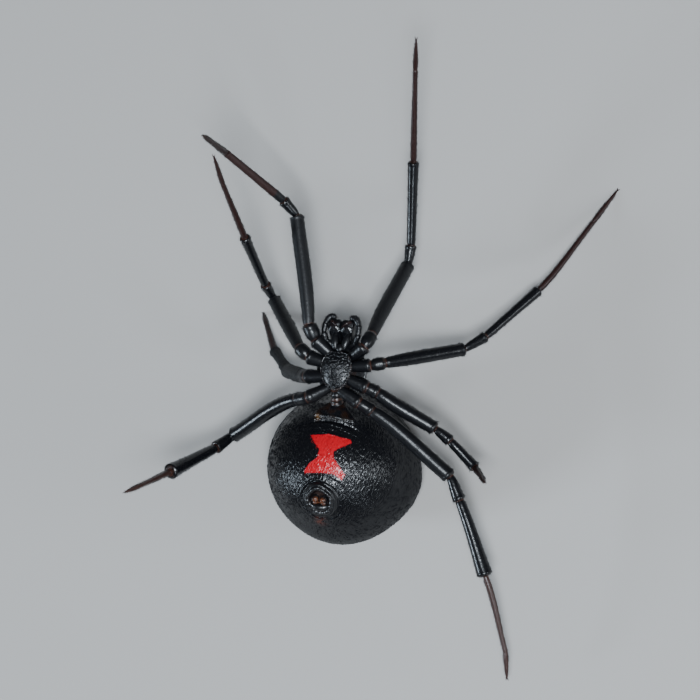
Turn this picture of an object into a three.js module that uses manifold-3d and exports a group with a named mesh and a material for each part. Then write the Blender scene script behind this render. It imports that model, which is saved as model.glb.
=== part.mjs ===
// A large female black widow spider, life size, lying belly up with her legs spread.
// Millimetres, +Z up. Her head points to +Y, her own left side to +X, and her belly faces +Z.
// The globe of the abdomen and the tips of two legs rest on the floor at z = 0.

import * as THREE from 'three';
import { mergeVertices } from 'three/addons/utils/BufferGeometryUtils.js';
import Module from 'manifold-3d';

const wasm = await Module();
wasm.setup();

const vector = (x, y, z) => new THREE.Vector3(x, y, z);
const radians = THREE.MathUtils.degToRad;
const blend = THREE.MathUtils.lerp;
const rise = THREE.MathUtils.smoothstep;

// Clear space left in each joint, and the number of flats round a limb
const JOINT_GAP = 0.2;
const LIMB_SIDES = 10;

// Abdomen: a globe that leans a little on its side, with its tail end raised. Places on it are
// in degrees from the middle of the belly: forward, and towards her left side. A swelling also
// has its height and its spread in degrees.
const ABDOMEN_RADIUS = 4.82;
const ABDOMEN_CENTRE = vector(-2.04, -7.55, 4.45);
const ABDOMEN_ROLL = 6;
const ABDOMEN_PITCH = -4;
const SHOULDER = { forward: 40, left: -2, height: 0.5, spread: 12 };
const TAIL = { forward: -35.6, left: 1.5, height: 0.16, spread: 17 };
const FLANK = { forward: 0, left: 88, height: 0.17, spread: 20 };
const BACK = { forward: 0, left: 180, height: -0.12, spread: 45 };
const FURROW = { forward: 25.5, halfWidth: 24, depth: 0.09 };
const LUNG_COVER = { forward: 29, side: 16.5, size: [0.62, 0.42, 0.16] };

// Cephalothorax: measured from the middle of the breastplate's surface
const STERNUM_CENTRE = vector(-1.72, -2.04, 9.73);
const HEAD_YAW = 2.5;
const STERNUM_HALF_WIDTH = 1.04;
const STERNUM_FRONT = 1.24;
const STERNUM_REAR = -1.27;
const STERNUM_SKEW = 0.1;
const CARAPACE_LENGTH = 3.9;
const CARAPACE_MIDDLE = 0.5;
const CARAPACE_EDGE = -1.25;
const THORAX_HALF_WIDTH = 1.62;
const HEAD_HALF_WIDTH = 1.02;
const THORAX_HEIGHT = 1.2;
const HEAD_HEIGHT = 1.42;
const EYE_RADIUS = 0.11;

// Jaws: two stout bases side by side that lean forward from under the eyes
const JAW_SIDE = 0.38;
const JAW_ROOT = vector(0, 1.95, -1.4);
const JAW_TIP = vector(0, 2.62, -0.28);

// Legs by pair from the front: where each hip starts beside the breastplate, and the
// length of every segment
const LEG_PAIRS = [
  { hip: [0.95, 1.22, -0.58], coxa: 1.0, trochanter: 1.05,
    femur: 7.0, patella: 1.3, tibia: 5.5, metatarsus: 6.4, tarsus: 2.2 },
  { hip: [1.08, 0.46, -0.6], coxa: 1.05, trochanter: 0.9,
    femur: 5.35, patella: 1.6, tibia: 4.8, metatarsus: 5.75, tarsus: 2.6 },
  { hip: [1.05, -0.46, -0.62], coxa: 1.05, trochanter: 0.75,
    femur: 4.25, patella: 1.2, tibia: 2.3, metatarsus: 2.9, tarsus: 1.35 },
  { hip: [0.78, -1.32, -0.64], coxa: 1.05, trochanter: 0.95,
    femur: 6.35, patella: 1.55, tibia: 5.0, metatarsus: 4.95, tarsus: 1.7 },
];

// Pose of each leg: heading round from +X and climb above level, in degrees, in the order
// coxa, trochanter, femur, patella, tibia, metatarsus, tarsus
const POSES = {
  leg1_left: [[36, 27], [84, -33], [93, -42], [89, 7], [90, 24], [85, 35], [81, 41]],
  leg2_left: [[13, -4], [21, -18], [26, -36], [48, -27], [60, -29], [67, -19], [67, -15]],
  leg3_left: [[-15, -14], [-17, -22], [-23, -21], [-31, -20], [-39, -18], [-26, 57], [-28, 58]],
  leg4_left: [[-24, -14], [-24, -21], [-33, -19], [-56, -15], [-63, -12], [-70, -20], [-84, -23]],
  leg1_right: [[146, 14], [122, 17], [107, 2], [137, 34], [143, 55], [-9, 76], [-8, 77]],
  leg2_right: [[170, 3], [146, -1], [138, -30], [101, 65], [95, 61], [86, 65], [87, 60]],
  leg3_right: [[-173, -10], [175, -48], [169, -53], [148, -48], [147, -42], [132, -35], [132, -37]],
  leg4_right: [[-142, 16], [-170, -26], [-152, -26], [-122, 37], [-112, 61], [-78, 73], [-105, 68]],
};

// Radius of each segment from its near end to its far end, as [share of the length, radius]
const SHAPES = {
  coxa: [[0, 0.32], [0.35, 0.37], [0.8, 0.42], [1, 0.38]],
  trochanter: [[0, 0.35], [0.45, 0.44], [0.8, 0.42], [1, 0.35]],
  femur: [[0, 0.33], [0.08, 0.41], [0.35, 0.46], [0.65, 0.45], [0.92, 0.41], [1, 0.36]],
  patella: [[0, 0.31], [0.3, 0.34], [0.75, 0.33], [1, 0.3]],
  tibia: [[0, 0.29], [0.12, 0.32], [0.6, 0.34], [0.92, 0.37], [1, 0.33]],
  metatarsus: [[0, 0.25], [0.1, 0.27], [0.5, 0.25], [1, 0.24]],
  tarsus: [[0, 0.22], [0.4, 0.2], [0.8, 0.15], [1, 0.08]],
};

// Legs 3 are slimmer, legs 4 carry a stouter shin, and the hind femur on the right is bowed
const PAIR_GIRTH = [1, 0.95, 0.88, 0.98];
const HIND_SHIN_SWELL = 1.2;
const FEMUR_BOW = { leg4_right: vector(-0.2, 0.42, 0) };

const shell = new THREE.MeshStandardMaterial({ color: 0x0b0b0e, roughness: 0.22, metalness: 0 });
const shin = new THREE.MeshStandardMaterial({ color: 0x2c1512, roughness: 0.35, metalness: 0 });
const globe = new THREE.MeshStandardMaterial({ color: 0x08080a, roughness: 0.3, metalness: 0 });
const fleshy = new THREE.MeshStandardMaterial({ color: 0x3a1c12, roughness: 0.45, metalness: 0 });

// A closed geometry with shared corners as a solid that can be joined and cut
function solidOf(geometry) {
  const bare = geometry.clone();
  bare.deleteAttribute('normal');
  bare.deleteAttribute('uv');
  const merged = mergeVertices(bare, 1e-5);
  const vertProperties = new Float32Array(merged.attributes.position.array);
  const triVerts = new Uint32Array(merged.index.array);
  return new wasm.Manifold(new wasm.Mesh({ numProp: 3, vertProperties, triVerts }));
}

// The largest closed surface of a solid, back as a geometry
function geometryOf(solid) {
  const [largest] = solid.decompose().sort((a, b) => b.volume() - a.volume());
  const mesh = largest.getMesh();
  const geometry = new THREE.BufferGeometry();
  geometry.setAttribute('position', new THREE.BufferAttribute(mesh.vertProperties, 3));
  geometry.setIndex(new THREE.BufferAttribute(mesh.triVerts, 1));
  geometry.computeVertexNormals();
  return geometry;
}

const joined = (solids) => solids.reduce((all, next) => all.add(next));

// A turned form laid along a curve. The profile gives [share of the length, radius], and each
// end face lies on the plane that startFace or endFace is square to, half a joint gap back.
function limb(curve, profile, { startFace, endFace, gap = JOINT_GAP, sides = LIMB_SIDES } = {}) {
  const outline = profile.map(([share, radius]) => new THREE.Vector2(radius, share));
  const points = [new THREE.Vector2(0, 0), ...outline, new THREE.Vector2(0, 1)];
  const geometry = new THREE.LatheGeometry(points, sides);
  const length = curve.getLength();
  const chord = curve.getPoint(1).sub(curve.getPoint(0)).normalize();
  const across = Math.abs(chord.z) < 0.8 ? vector(0, 0, 1) : vector(1, 0, 0);
  const position = geometry.attributes.position;
  for (let i = 0; i < position.count; i += 1) {
    const share = position.getY(i);
    const ahead = curve.getTangent(share);
    const first = across.clone().addScaledVector(ahead, -across.dot(ahead)).normalize();
    const second = first.clone().cross(ahead);
    const offset = first.multiplyScalar(position.getX(i))
      .addScaledVector(second, position.getZ(i));
    const slideTo = (face, side) => (side * gap / 2 - offset.dot(face)) / ahead.dot(face);
    const reach = Math.min(0.45 * length, 1.2);
    const fromStart = Math.max(0, 1 - share * length / reach);
    const fromEnd = Math.max(0, 1 - (1 - share) * length / reach);
    const slide = (startFace ? fromStart * slideTo(startFace, 1) : 0)
      + (endFace ? fromEnd * slideTo(endFace, -1) : 0);
    const point = curve.getPoint(share).add(offset).addScaledVector(ahead, slide);
    position.setXYZ(i, point.x, point.y, point.z);
  }
  return geometry;
}

const straight = (from, to) => new THREE.LineCurve3(from, to);

function bowed(from, to, bow) {
  const control = from.clone().lerp(to, 0.5).addScaledVector(bow, 2);
  return new THREE.QuadraticBezierCurve3(from, control, to);
}

function ellipsoid(centre, radii, turn = [0, 0, 0], segments = [16, 10]) {
  const geometry = new THREE.SphereGeometry(1, ...segments);
  geometry.scale(...radii);
  const rotation = new THREE.Euler(...turn.map(radians));
  geometry.applyMatrix4(new THREE.Matrix4().makeRotationFromEuler(rotation));
  geometry.translate(...centre);
  return geometry;
}

// Everything below the floor, so that what rests on it ends in a small flat
const underFloor = solidOf(new THREE.BoxGeometry(80, 80, 10).translate(0, 0, -5));

const spider = new THREE.Group();

function addMesh(parent, name, geometry, material) {
  const mesh = new THREE.Mesh(geometry, material.clone());
  mesh.name = name;
  parent.add(mesh);
  return mesh;
}

// Cephalothorax: the domed carapace below, a neck of body between the hips, and the
// shield-shaped breastplate on top. With clearance it gives the room its neighbours leave.

function sternumShape(extra) {
  const w = STERNUM_HALF_WIDTH + extra;
  const front = STERNUM_FRONT + extra;
  const rear = STERNUM_REAR - extra;
  const shape = new THREE.Shape();
  shape.moveTo(STERNUM_SKEW, rear);
  shape.quadraticCurveTo(0.62 * w, 0.86 * rear, 0.97 * w, -0.1 * front);
  shape.quadraticCurveTo(1.12 * w, 0.55 * front, 0.56 * w, 0.94 * front);
  shape.quadraticCurveTo(0, 1.06 * front, -0.56 * w, 0.94 * front);
  shape.quadraticCurveTo(-1.12 * w, 0.55 * front, -0.97 * w, -0.1 * front);
  shape.quadraticCurveTo(-0.55 * w, 0.78 * rear, STERNUM_SKEW, rear);
  return shape;
}

function sternumPlate(extra, low, high, bevel) {
  const geometry = new THREE.ExtrudeGeometry(sternumShape(extra - bevel), {
    depth: high - low - bevel, curveSegments: 5, bevelEnabled: bevel > 0,
    bevelThickness: bevel, bevelSize: bevel, bevelSegments: 1,
  });
  return geometry.translate(0, 0, low);
}

function carapace(extra) {
  const geometry = new THREE.SphereGeometry(1, 28, 18);
  const position = geometry.attributes.position;
  for (let i = 0; i < position.count; i += 1) {
    const y = CARAPACE_MIDDLE + position.getY(i) * (CARAPACE_LENGTH / 2 + extra);
    const ring = Math.hypot(position.getX(i), position.getZ(i));
    const fullness = ring > 0 ? ring ** -0.25 : 0;
    const headward = rise(y, 0.1, 1.5);
    const halfWidth = blend(THORAX_HALF_WIDTH, HEAD_HALF_WIDTH, headward) + extra;
    const height = blend(THORAX_HEIGHT, HEAD_HEIGHT, headward) + extra;
    const belly = 0.1 + extra;
    const lift = position.getZ(i) < 0 ? height : belly;
    position.setXYZ(i, position.getX(i) * fullness * halfWidth, y,
      CARAPACE_EDGE + position.getZ(i) * fullness * lift);
  }
  return geometry;
}

function eyePlaces() {
  const rows = [
    { inner: 0.17, outer: 0.58, y: 2.33, z: -1.72, back: 0.16 },
    { inner: 0.2, outer: 0.66, y: 2.14, z: -2.12, back: 0.2 },
  ];
  const places = [];
  for (const { inner, outer, y, z, back } of rows) {
    for (const side of [-1, 1]) {
      places.push([side * inner, y, z], [side * outer, y - back, z]);
    }
  }
  return places;
}

function cephalothorax(extra) {
  const core = sternumPlate(extra - 0.08, CARAPACE_EDGE - 0.4, -0.08 + extra, 0);
  const plate = sternumPlate(extra, -0.16 - extra, -0.05 + extra, 0.04);
  const crown = ellipsoid([0, 0.05, -0.06], [0.88 + extra, 1.02 + extra, 0.1 + extra]);
  return joined([carapace(extra), core, plate, crown].map(solidOf));
}

const head = new THREE.Group();
head.position.copy(STERNUM_CENTRE);
head.rotation.z = radians(HEAD_YAW);
head.updateMatrix();
spider.add(head);

const eyes = eyePlaces().map((place) => (
  solidOf(ellipsoid(place, [EYE_RADIUS, EYE_RADIUS, EYE_RADIUS], [0, 0, 0], [8, 6]))));
const prosoma = joined([cephalothorax(0), ...eyes]);
addMesh(head, 'cephalothorax', geometryOf(prosoma), shell);

const bodyRoom = cephalothorax(JOINT_GAP);

// Chelicerae: two stout jaw bases below the eyes, each with a short curved fang folded inwards

function chelicera(side) {
  const aside = vector(side * JAW_SIDE, 0, 0);
  const root = JAW_ROOT.clone().add(aside);
  const tip = JAW_TIP.clone().add(aside);
  const base = limb(straight(root, tip),
    [[0, 0.3], [0.3, 0.33], [0.62, 0.35], [0.86, 0.32], [0.97, 0.2]], { sides: 14 });
  const knob = ellipsoid([side * 0.4, 2.56, -0.34], [0.34, 0.46, 0.34], [0, 0, 0], [14, 10]);
  const hinge = vector(side * 0.46, 2.72, -0.06);
  const point = vector(side * 0.13, 2.3, 0.02);
  const fang = limb(bowed(hinge, point, vector(side * 0.06, 0.05, 0.07)),
    [[0, 0.12], [0.5, 0.09], [1, 0.03]], { sides: 8 });
  return joined([base, knob, fang].map(solidOf)).subtract(bodyRoom);
}

// Mouthparts: the small lip in front of the breastplate and the two lobes beside it

function mouthparts() {
  const lip = ellipsoid([0.06, 1.46, -0.26], [0.25, 0.28, 0.2], [-8, 0, 0], [12, 8]);
  const root = ellipsoid([0, 1.62, -0.52], [0.55, 0.34, 0.22], [0, 0, 0], [12, 8]);
  const lobes = [-1, 1].map((side) => (
    ellipsoid([side * 0.36, 1.72, -0.36], [0.19, 0.4, 0.2], [-6, 0, side * 12], [12, 8])));
  return joined([lip, root, ...lobes].map(solidOf)).subtract(bodyRoom);
}

// Palps: short feelers that arch forward round the jaws and curl in before them

function palp(side) {
  const bends = [
    [0.47, 1.74, -0.64], [1.08, 2.2, -0.62], [1.31, 2.75, -0.42],
    [1.1, 3.33, -0.34], [0.75, 3.58, -0.32], [0.45, 3.39, -0.3],
  ];
  const curve = new THREE.CatmullRomCurve3(bends.map(([x, y, z]) => vector(side * x, y, z)));
  const profile = [
    [0, 0.17], [0.12, 0.19], [0.2, 0.18], [0.32, 0.21], [0.46, 0.2], [0.55, 0.22],
    [0.68, 0.2], [0.78, 0.21], [0.9, 0.19], [1, 0.1],
  ];
  return solidOf(limb(curve, profile, { sides: 8 })).subtract(bodyRoom);
}

const mouthRoom = solidOf(ellipsoid([0, 1.66, -0.4], [0.76, 0.62, 0.42]));
const mouth = mouthparts();
addMesh(head, 'mouthparts', geometryOf(mouth), shell);
for (const [side, word] of [[1, 'left'], [-1, 'right']]) {
  const jaw = chelicera(side).subtract(mouthRoom);
  addMesh(head, `chelicera_${word}`, geometryOf(jaw), shell);
  addMesh(head, `palp_${word}`, geometryOf(palp(side).subtract(mouthRoom)), shell);
}

// Abdomen: the globe swells into a shoulder towards the waist and a low mound under the
// spinnerets. Its own frame has the spider's left on +X, its front on +Y, its belly on +Z.

const belly = new THREE.Group();
belly.position.copy(ABDOMEN_CENTRE);
belly.rotation.set(radians(ABDOMEN_PITCH), radians(ABDOMEN_ROLL), 0);
belly.updateMatrix();
spider.add(belly);

// A direction from the globe's centre, by degrees forward from the belly and to the left side
function towards(forward, left = 0) {
  const f = radians(forward);
  const l = radians(left);
  return vector(Math.sin(l) * Math.cos(f), Math.sin(f), Math.cos(l) * Math.cos(f));
}

function swelling(direction, { forward, left, height, spread }) {
  const away = THREE.MathUtils.radToDeg(direction.angleTo(towards(forward, left)));
  return height * Math.exp(-((away / spread) ** 2));
}

function abdomenRadius(direction) {
  return [SHOULDER, TAIL, FLANK, BACK]
    .reduce((radius, place) => radius + swelling(direction, place), ABDOMEN_RADIUS);
}

function abdomenSurface(extra) {
  const geometry = new THREE.SphereGeometry(1, 40, 30);
  const position = geometry.attributes.position;
  const direction = new THREE.Vector3();
  for (let i = 0; i < position.count; i += 1) {
    direction.fromBufferAttribute(position, i).normalize();
    direction.multiplyScalar(abdomenRadius(direction) + extra);
    position.setXYZ(i, direction.x, direction.y, direction.z);
  }
  return solidOf(geometry);
}

// The furrow that crosses the belly behind the lung covers, as a groove
function furrow() {
  const places = [-1, -0.5, 0, 0.5, 1].map((share) => {
    const aim = towards(FURROW.forward - 5 * share * share, share * FURROW.halfWidth);
    return aim.multiplyScalar(abdomenRadius(aim) + 0.06);
  });
  const curve = new THREE.CatmullRomCurve3(places);
  const girth = FURROW.depth + 0.06;
  return solidOf(limb(curve, [[0, 0.02], [0.15, girth], [0.5, girth], [0.85, girth], [1, 0.02]],
    { sides: 6 }));
}

function lungCover(side) {
  const aim = towards(LUNG_COVER.forward, side * LUNG_COVER.side);
  const centre = aim.clone().multiplyScalar(abdomenRadius(aim) - 0.06);
  const cover = new THREE.SphereGeometry(1, 14, 8);
  cover.scale(...LUNG_COVER.size);
  const upright = new THREE.Quaternion().setFromUnitVectors(vector(0, 0, 1), aim);
  cover.applyQuaternion(upright);
  return solidOf(cover.translate(centre.x, centre.y, centre.z));
}

const floorInBelly = underFloor.transform(belly.matrix.clone().invert().toArray());
const abdomen = joined([abdomenSurface(0), lungCover(1), lungCover(-1)])
  .subtract(furrow())
  .subtract(floorInBelly);
addMesh(belly, 'abdomen', geometryOf(abdomen), globe);

// Spinnerets: a ringed cone with the three pairs of spinnerets and the tail tubercle at its top

function spinnerets() {
  const rings = [
    [0, -0.3], [1.02, -0.3], [1.06, 0.12], [1.0, 0.26], [0.84, 0.28], [0.82, 0.38], [0.66, 0.46],
    [0.6, 0.42], [0.5, 0.36], [0, 0.34],
  ].map(([radius, height]) => new THREE.Vector2(radius, height));
  const cone = new THREE.LatheGeometry(rings, 20).rotateX(Math.PI / 2);
  const parts = [cone];
  for (const [x, y, size] of [[0.17, 0.18, 0.17], [0.16, -0.14, 0.14], [0.05, 0.01, 0.09]]) {
    for (const side of [-1, 1]) {
      const foot = vector(side * x, y, 0.2);
      const tip = vector(side * x * 0.8, y * 0.8, 0.42 + size);
      parts.push(limb(straight(foot, tip), [[0, size], [0.6, size * 0.9], [1, size * 0.4]],
        { sides: 8 }));
    }
  }
  parts.push(ellipsoid([0, -0.42, 0.36], [0.14, 0.11, 0.18], [0, 0, 0], [8, 6]));
  return joined(parts.map(solidOf));
}

const tail = towards(TAIL.forward, TAIL.left);
const tailSeat = tail.clone().multiplyScalar(abdomenRadius(tail));
const tailTurn = new THREE.Quaternion().setFromUnitVectors(vector(0, 0, 1), tail);
const tailMatrix = new THREE.Matrix4().compose(tailSeat, tailTurn, vector(1, 1, 1));
const spinneretCone = spinnerets().transform(tailMatrix.toArray());
addMesh(belly, 'spinnerets', geometryOf(spinneretCone.subtract(abdomenSurface(JOINT_GAP))), fleshy);

// Pedicel: the narrow waist between the two halves of the body

const abdomenRoom = abdomenSurface(JOINT_GAP).transform(belly.matrix.toArray());
const headRoom = bodyRoom.transform(head.matrix.toArray());
const waistFront = vector(0, -0.9, -0.9).applyMatrix4(head.matrix);
const waistRear = towards(SHOULDER.forward, SHOULDER.left).multiplyScalar(ABDOMEN_RADIUS)
  .applyMatrix4(belly.matrix);
const waist = solidOf(limb(straight(waistFront, waistRear),
  [[0, 0.4], [0.4, 0.38], [0.7, 0.42], [1, 0.46]]));
addMesh(spider, 'pedicel', geometryOf(waist.subtract(headRoom).subtract(abdomenRoom)), fleshy);

// Legs: each is a chain of turned segments from the hip out, mitred where they meet

function heading([azimuth, climb]) {
  const a = radians(azimuth);
  const c = radians(climb);
  return vector(Math.cos(a) * Math.cos(c), Math.sin(a) * Math.cos(c), Math.sin(c));
}

function scaled(profile, girth, farSwell = 1) {
  return profile.map(([share, radius]) => [share, radius * girth * blend(1, farSwell, share)]);
}

const SEGMENTS = ['coxa', 'trochanter', 'femur', 'patella', 'tibia', 'metatarsus', 'tarsus'];
const RESTING = ['leg2_left_tarsus', 'leg3_right_tarsus'];

function addLeg(name, side, pair) {
  const lengths = LEG_PAIRS[pair];
  const [hipX, hipY, hipZ] = lengths.hip;
  const joints = [STERNUM_CENTRE.clone().add(vector(side * hipX, hipY, hipZ))];
  const ways = POSES[name].map(heading);
  SEGMENTS.forEach((segment, i) => {
    joints.push(joints[i].clone().addScaledVector(ways[i], lengths[segment]));
  });
  const faceAt = (i) => ways[i - 1].clone().add(ways[i]).normalize();
  const shapeOf = (segment) => {
    const slender = segment === 'metatarsus' || segment === 'tarsus';
    const swellOut = pair === 3 && segment === 'tibia' ? HIND_SHIN_SWELL : 1;
    return scaled(SHAPES[segment], slender ? 1 : PAIR_GIRTH[pair], swellOut);
  };

  const hip = limb(straight(joints[0], joints[1]), shapeOf('coxa'));
  const knuckle = ellipsoid(joints[1].toArray(), [0.33, 0.33, 0.33], [0, 0, 0], [10, 8]);
  const collar = limb(straight(joints[1], joints[2]), shapeOf('trochanter'),
    { endFace: faceAt(2) });
  const hipSolid = joined([hip, knuckle, collar].map(solidOf)).subtract(headRoom);
  addMesh(spider, `${name}_coxa`, geometryOf(hipSolid), shell);

  SEGMENTS.slice(2).forEach((segment, k) => {
    const i = k + 2;
    const bow = segment === 'femur' && FEMUR_BOW[name];
    const axis = bow ? bowed(joints[i], joints[i + 1], bow) : straight(joints[i], joints[i + 1]);
    const faces = { startFace: faceAt(i), endFace: i < 6 ? faceAt(i + 1) : undefined };
    const geometry = limb(axis, shapeOf(segment), faces);
    const full = `${name}_${segment}`;
    const resting = RESTING.includes(full);
    const shaped = resting ? geometryOf(solidOf(geometry).subtract(underFloor)) : geometry;
    addMesh(spider, full, shaped, i > 4 ? shin : shell);
  });
}

for (const pair of [0, 1, 2, 3]) {
  addLeg(`leg${pair + 1}_left`, 1, pair);
  addLeg(`leg${pair + 1}_right`, -1, pair);
}

export default spider;
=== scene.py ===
import math
import bpy
import numpy as np
from mathutils import Matrix, Vector


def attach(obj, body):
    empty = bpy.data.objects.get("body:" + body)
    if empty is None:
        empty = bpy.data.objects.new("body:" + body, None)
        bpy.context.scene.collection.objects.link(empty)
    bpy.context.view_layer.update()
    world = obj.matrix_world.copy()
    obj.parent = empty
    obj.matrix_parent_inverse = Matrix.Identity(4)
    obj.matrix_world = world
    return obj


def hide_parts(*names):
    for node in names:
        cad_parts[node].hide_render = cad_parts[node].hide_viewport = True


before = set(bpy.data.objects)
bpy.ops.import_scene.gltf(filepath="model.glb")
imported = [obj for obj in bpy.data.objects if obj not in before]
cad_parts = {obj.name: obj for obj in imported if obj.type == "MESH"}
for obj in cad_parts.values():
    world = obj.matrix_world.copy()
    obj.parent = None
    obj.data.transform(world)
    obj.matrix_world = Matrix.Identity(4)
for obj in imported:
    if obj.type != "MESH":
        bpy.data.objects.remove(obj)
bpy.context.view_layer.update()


# Abdomen. In life a thin elastic skin, blown up by food into a tight globe and set with short
# fine hairs; here it is cast in one piece and lacquered black, with the red hourglass laid under
# the lacquer. It joins the front of the body at the narrow waist only.

MM = 0.001
# how far the lowest points stay above the floor, in millimetres
floor_gap = 0.005
abdomen_centre = np.array((-2.04, -7.55, 4.45))
abdomen_radius = 4.8
abdomen_turn = np.array(Matrix.Rotation(math.radians(-4), 3, "X")
                        @ Matrix.Rotation(math.radians(6), 3, "Y"))
# places on it are in degrees from the middle of the belly: forward, and to her left side
tail_place = (-35.6, 1.5)
shoulder_place = (40, -2)
# swellings, and the hollow of the back: the place, the height in millimetres, the spread
swellings = ((shoulder_place, 0.5, 12), (tail_place, 0.16, 17), ((-4, 108), 0.27, 24),
             ((-80, 90), 0.16, 32), ((0, 180), -0.12, 45))
plate_height, plate_rim_height = 0.06, 0.065
lung_cover_place, lung_cover_height, lung_cover_spread = (29, 16.5), 0.13, 4.6
dent_rows, dent_depth, dent_spread = (28, 4, -22), 0.05, 2.6
furrow_forward, furrow_depth, furrow_reach = 25.5, 0.09, 24
# creases behind the furrow: degrees from it, height and phase of the waves in them
creases = ((2.6, 0.045, 0.5), (5.2, 0.055, 2.4), (7.4, 0.03, 4.2), (9.8, 0.045, 1.2))
# folds of skin round the spinnerets: degrees from them, depth and the side where it is deepest
tail_folds = ((13.8, 0.05, 2.6), (16.4, 0.03, 4.4), (19.6, 0.02, 1.9))


def towards(forward, left):
    """The direction of a place on the abdomen, in the abdomen's own axes."""
    f, l = np.radians(forward), np.radians(left)
    return np.stack((np.sin(l) * np.cos(f), np.sin(f) + 0 * l, np.cos(l) * np.cos(f)), -1)


def unit(ways):
    """The same ways, each with length 1."""
    return ways / np.linalg.norm(ways, axis=-1, keepdims=True)


def turns_of(count):
    """Angles evenly once round."""
    return np.linspace(0, 2 * np.pi, count, endpoint=False)


def place_of(directions):
    """Degrees forward and to her left of each direction."""
    forward = np.degrees(np.arcsin(np.clip(directions[..., 1], -1, 1)))
    left = np.degrees(np.arctan2(directions[..., 0], directions[..., 2]))
    return forward, left


def hump(distance, width):
    """1 at distance 0 that falls off smoothly over about the width."""
    return np.exp(-(distance / width) ** 2)


def degrees_from(directions, place):
    """Degrees from a place on the abdomen to each direction."""
    return np.degrees(np.arccos(np.clip(directions @ towards(*place), -1, 1)))


def ramp(value, low, high):
    """0 below low and 1 above high, smooth between them."""
    t = np.clip((value - low) / (high - low), 0, 1)
    return t * t * (3 - 2 * t)


def plate_edge(forward, left):
    """Degrees in from the edge of the plate in front of the furrow, below 0 outside it."""
    half_width = 7 + 10 * ramp(40 - forward, 0, 10)
    across = half_width - np.abs(left + 0.8)
    return np.minimum(across, np.minimum(forward - 27.5, 44 - forward))


def skin_radius(directions):
    """The abdomen's radius in each direction, with all that swells out of it or folds in."""
    forward, left = place_of(directions)
    radius = np.full(forward.shape, abdomen_radius)
    for place, height, spread in swellings:
        radius += height * hump(degrees_from(directions, place), spread)
    # the plate before the furrow, with the lung covers at its two rear corners
    edge = plate_edge(forward, left)
    radius += plate_height * ramp(edge, -0.4, 0.4)
    radius += plate_rim_height * hump(edge - 0.5, 0.9) * ramp(forward, furrow_forward, 31)
    for side in (-1, 1):
        cover = (lung_cover_place[0], side * lung_cover_place[1])
        radius += lung_cover_height * hump(degrees_from(directions, cover), lung_cover_spread)
        # the dents on the back where the muscles are fixed
        for row, dent_forward in enumerate(dent_rows):
            dent = degrees_from(directions, (dent_forward, side * (168 - 3 * row)))
            radius -= dent_depth * hump(dent, dent_spread)
    # the furrow and the creases behind it, which bend back to both sides
    share = np.clip(left / furrow_reach, -1.6, 1.6)
    behind = furrow_forward - 5 * share ** 2 - forward
    sides = hump(share, 1.0)
    radius -= furrow_depth * hump(behind, 1.2) * sides
    for place, height, phase in creases:
        waves = 0.7 * np.sin(left * 0.13 + phase) + 0.25 * np.sin(left * 0.4 + phase)
        height = height * (0.6 + 0.4 * np.sin(left * 0.16 + 2 * phase))
        radius += height * hump(behind - place - waves, 0.55) * sides
    # the folds round the spinnerets are not quite round
    about = np.arctan2(left - tail_place[1], forward - tail_place[0])
    uneven = 1 + 0.05 * np.sin(2 * about + 0.7) + 0.03 * np.sin(5 * about)
    around_tail = degrees_from(directions, tail_place) * uneven
    for angle, depth, phase in tail_folds:
        strength = 0.5 + 0.5 * np.sin(about + phase)
        radius -= depth * strength * hump(around_tail - angle, 0.8)
        radius += 0.6 * depth * strength * hump(around_tail - angle - 1.5, 0.9)
    return radius


# her left and forward, in millimetres on the skin, from the middle of the belly
hourglass_outline = (
    (-1.22, 0.98), (-0.11, 1.21), (1.38, 1.13), (1.47, 0.93), (0.52, 0.20), (0.61, -0.23),
    (1.14, -0.76), (1.48, -1.12), (1.31, -1.46), (0.78, -1.20), (-0.10, -1.26), (-1.10, -1.43),
    (-1.17, -1.32), (-0.88, -0.77), (-0.42, -0.35), (-0.42, 0.17), (-0.86, 0.56),
)
# the depth inside it of a point that is nowhere near it
far_outside = -9.0


def depth_inside(outline, across, along):
    """Signed distance of points from a closed outline: above 0 inside it."""
    nearest = np.full(across.shape, 1e9)
    inside = np.zeros(across.shape, bool)
    for (x0, y0), (x1, y1) in zip(outline, outline[1:] + outline[:1]):
        run, climb = x1 - x0, y1 - y0
        share = (((across - x0) * run + (along - y0) * climb) / (run ** 2 + climb ** 2)).clip(0, 1)
        gap = np.hypot(across - x0 - share * run, along - y0 - share * climb)
        nearest = np.minimum(nearest, gap)
        inside ^= ((y0 > along) != (y1 > along)) & (across < x0 + (along - y0) * run / (climb or 1))
    return np.where(inside, nearest, -nearest)


def abdomen_points(directions, lift=0.0):
    """Points on the abdomen's skin in the frame, with its back pressed flat on the floor."""
    points = directions * (skin_radius(directions) + lift)[..., None]
    points = points @ abdomen_turn.T + abdomen_centre
    points[..., 2] = np.maximum(points[..., 2], floor_gap)
    return points


def abdomen_marks(directions):
    """Numbers for each point of the abdomen's skin that its paint is mixed from."""
    forward, left = place_of(directions)
    on_skin = directions * abdomen_radius
    depth = depth_inside(hourglass_outline, on_skin[..., 0], on_skin[..., 1])
    edge = plate_edge(forward, left)
    # the lie of the coat: round the body in lie_x and lie_z, and back along it in lie_y
    across = np.hypot(directions[..., 0], directions[..., 2]) + 1e-6
    return {"hourglass": np.where(directions[..., 2] < 0, far_outside, depth),
            "plate": ramp(edge, -1.5, 2.5), "ridge": hump(edge - 0.6, 1.2),
            "gold": hump(degrees_from(directions, (26.6, -14.6)), 1.5),
            "rust": hump(degrees_from(directions, (-55.5, 1.4)), 3.2),
            "belly": ramp(directions[..., 2], 0.1, 0.75),
            "lie_x": directions[..., 0] / across, "lie_y": np.radians(forward),
            "lie_z": directions[..., 2] / across}


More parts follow.
